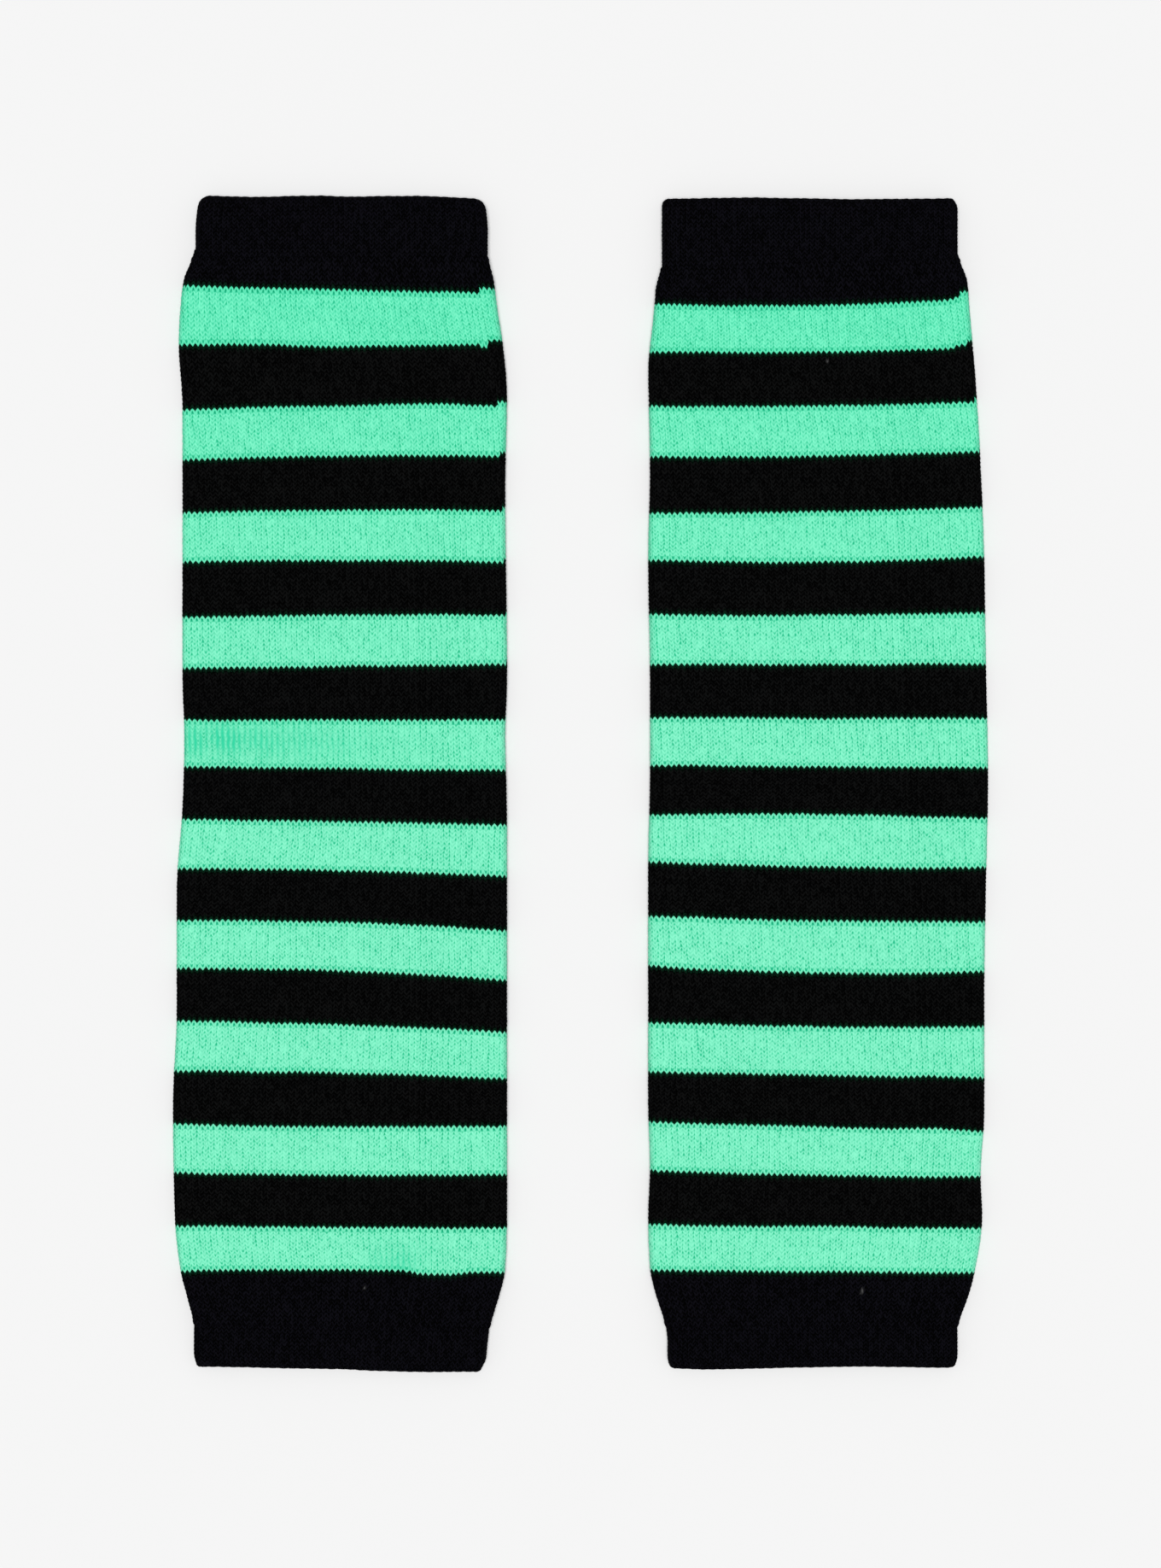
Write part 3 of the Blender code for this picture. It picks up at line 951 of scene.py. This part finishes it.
def yarn_colour(nodes, yarn, shade, gaps):
    """The yarn's colour, from its shade and the marks on the mesh. gaps is where stretched cloth opens,
    and shade is painted into its gaps there.
    """
    pale = nodes.math("SUBTRACT", PALE_SHARE, nodes.math("MULTIPLY", shade, PALE_SLOPE), clamp=True)
    fringed = nodes.math("MULTIPLY", nodes.attribute("fringe"), FRINGE_SHARE)
    whitened = nodes.math("MULTIPLY", nodes.attribute("nap"), yarn.nap)
    opened = nodes.math("MULTIPLY", nodes.attribute("stretch"), gaps, clamp=True)
    colour = nodes.between(yarn.body, yarn.top, pale)
    # Over top and body come the fringe, white paler lower down, deep and hole as painted shade, painted
    # gap shade, the other yarn and lint.
    for over, share in (
        (yarn.fringe, fringed),
        (WHITE, whitened),
        (yarn.deep, nodes.ramp(shade, *DEEP_SPAN)),
        (yarn.hole, nodes.ramp(shade, *HOLE_SPAN)),
        (yarn.pulled, opened),
        (yarn.other, nodes.ramp(nodes.attribute("hollow"), *OTHER_SPAN)),
        (LINT_GREY, nodes.attribute("lint")),
    ):
        colour = nodes.between(colour, over, share)
    return colour


def yarn_material(name, yarn):
    nodes = Nodes(name)
    shader = nodes.shader
    wale, row = stitch_place(nodes)

    # away is 0 along a leg's back and 1 in the groove on either side of it, and back is how high the leg
    # is there. along is 0 where two wales meet and 1 in the middle of a wale.
    across = nodes.math("MULTIPLY", nodes.math("PINGPONG", row, 0.5), 2.0)
    away = nodes.math("SUBTRACT", 1.0, across)
    back = nodes.math("SQRT", nodes.math("SUBTRACT", 1.0, nodes.math("MULTIPLY", away, away)))
    along = nodes.math("MULTIPLY", nodes.math("PINGPONG", wale, 0.5), 2.0)

    # Two plies twisted round each other, and the fibres along them.
    twist = nodes.math("MULTIPLY_ADD", along, PLY_TWIST, nodes.math("MULTIPLY", row, 2 * math.pi))
    plies = nodes.math("SINE", twist)
    fibres = nodes.noise(wale, row, 3.0, 8.0, detail=3.0)

    # In stretched cloth the gaps open where two wales meet, some more and some less, and shade is painted
    # into them.
    pulls = nodes.ramp(nodes.noise(wale, row, 0.3, 0.12, detail=2.0), *GAP_NOISE_SPAN)
    gaps = nodes.math("MULTIPLY", pulls, nodes.math("MULTIPLY_ADD", along, -1.2, 1.3, clamp=True))

    shade = yarn_shade(nodes, wale, row, away, fibres, yarn.contrast)
    nodes.feed(shader.inputs["Base Color"], yarn_colour(nodes, yarn, shade, gaps))

    rough = nodes.math("MULTIPLY_ADD", fibres, ROUGHNESS_SPREAD, yarn.roughness - ROUGHNESS_SPREAD / 2)
    nodes.feed(shader.inputs["Roughness"], rough)
    shader.inputs["Specular IOR Level"].default_value = yarn.specular
    shader.inputs["Sheen Weight"].default_value = yarn.sheen
    shader.inputs["Sheen Roughness"].default_value = 0.5
    shader.inputs["Sheen Tint"].default_value = yarn.sheen_tint

    height = nodes.math("MULTIPLY_ADD", plies, PLY_HEIGHT, nodes.math("MULTIPLY", back, BACK_HEIGHT))
    height = nodes.math("MULTIPLY_ADD", fibres, FIBRE_HEIGHT, height)
    bump = nodes.add("Bump", Strength=BUMP_STRENGTH, Distance=BUMP_MM * MM, Height=height)
    nodes.feed(shader.inputs["Normal"], bump)
    return nodes.material


FLOOR_GREYS = (0.702, 0.702, 0.702, 1), (0.705, 0.705, 0.705, 1)
FLOOR_GRAIN_MM = 0.1


def floor_material():
    nodes = Nodes("pale_floor")
    position = nodes.add("TexCoord", output=3)
    cloud = nodes.add("TexNoise", Vector=position, Scale=3.0, Detail=2.0)
    grain = nodes.add("TexNoise", Vector=position, Scale=900.0, Detail=2.0)
    nodes.feed(nodes.shader.inputs["Base Color"], nodes.between(*FLOOR_GREYS, cloud))
    nodes.feed(nodes.shader.inputs["Roughness"], nodes.math("MULTIPLY_ADD", grain, 0.05, 0.9))
    nodes.shader.inputs["Specular IOR Level"].default_value = 0.1
    bump = nodes.add("Bump", Strength=0.02, Distance=FLOOR_GRAIN_MM * MM, Height=grain)
    nodes.feed(nodes.shader.inputs["Normal"], bump)
    return nodes.material


# ---------------- the room, the light and the camera

# The photograph is 1360 by 1836 pixels, and its long side takes in VIEW_LENGTH of the cloth's level, mm.
VIEW_LENGTH = 407.0
CLOTH_TOP = 2.5
LENS, SENSOR = 85.0, 36.0

FLOOR_WIDTH = 24.0          # m
FLOOR_DROP = 0.05           # mm below the cloth
WORLD_STRENGTH = 0.34
SUN_STRENGTH = 3.04
SUN_SPREAD = 30.0           # degrees, wide so that its shadows are soft
SUN_LEAN = 3.0, -1.0        # degrees from straight above, about X and about Y


def make_floor():
    bpy.ops.mesh.primitive_plane_add(size=FLOOR_WIDTH, location=(0, 0, -FLOOR_DROP * MM))
    floor = bpy.context.object
    floor.name = "floor"
    floor.data.materials.append(floor_material())


def make_light():
    world = bpy.data.worlds.new("soft_room")
    world.use_nodes = True
    background = world.node_tree.nodes["Background"]
    background.inputs["Color"].default_value = WHITE
    background.inputs["Strength"].default_value = WORLD_STRENGTH
    bpy.context.scene.world = world

    light = bpy.data.lights.new("softbox", "SUN")
    light.energy = SUN_STRENGTH
    light.angle = math.radians(SUN_SPREAD)
    lamp = bpy.data.objects.new("softbox", light)
    lamp.rotation_euler = (*map(math.radians, SUN_LEAN), 0)
    bpy.context.scene.collection.objects.link(lamp)


def make_camera():
    camera = bpy.data.cameras.new("camera")
    camera.lens = LENS
    camera.sensor_width = SENSOR
    camera.clip_start, camera.clip_end = 0.01, 10
    eye = bpy.data.objects.new("camera", camera)
    eye.location = (0, 0, (VIEW_LENGTH * LENS / SENSOR + CLOTH_TOP) * MM)
    bpy.context.scene.collection.objects.link(eye)
    bpy.context.scene.camera = eye
    bpy.context.scene.view_settings.view_transform = "Standard"


# ---------------- the whole pair

def declare(piece, node):
    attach(piece, "root")
    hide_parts(node)


def make_body(warmer, mint, black, cuff_black):
    body = Body(warmer)
    random = np.random.default_rng(warmer.seed + BODY_HOLLOWS_SEED)
    lowest, *others, highest = body.stripes
    lowest = lowest._replace(first=lowest.first - TUCKED_COURSES, courses=lowest.courses + TUCKED_COURSES)
    highest = highest._replace(courses=highest.courses + TUCKED_COURSES)
    groups = (
        ("mint_stripes", [stripe for stripe in others if stripe.mint], mint, "mint_yarn"),
        ("black_stripes", [stripe for stripe in others if not stripe.mint], black, "black_yarn"),
        ("end_bands", [lowest, highest], cuff_black, "black_yarn"),
    )
    round_mm = body.outline.mean_around()
    for name, stripes, material, slot in groups:
        total = sum(stripe.courses + 1 for stripe in stripes)
        base = 0.5
        parts = []
        for stripe in stripes:
            parts.append(stripe_part(body, stripe, base, total, random))
            base += stripe.courses + 1
        piece = mesh_object(f"{warmer.side}_{name}", parts, material)
        declare(piece, f"{warmer.side}_body")


def make_cuffs(warmer, material):
    for name, cuff, seed in (
        ("upper_cuff", warmer.upper, warmer.seed + UPPER_CUFF_SEED),
        ("lower_cuff", warmer.lower, warmer.seed + LOWER_CUFF_SEED),
    ):
        node = f"{warmer.side}_{name}"
        shape = CuffSurface(warmer, cuff, node, seed)
        part = cuff_part(shape, np.random.default_rng(seed + CUFF_HOLLOWS_SEED))
        piece = mesh_object(f"{node}_knit", [part], material)
        round_mm = shape.outline.mean_around()
        declare(piece, node)


def main():
    make_floor()
    make_light()
    make_camera()
    mint = yarn_material("mint_yarn_knit", MINT)
    black = yarn_material("black_yarn_knit", BLACK)
    cuff_black = yarn_material("black_rib_knit", CUFF_BLACK)
    for warmer in WARMERS:
        make_body(warmer, mint, black, cuff_black)
        make_cuffs(warmer, cuff_black)


main()
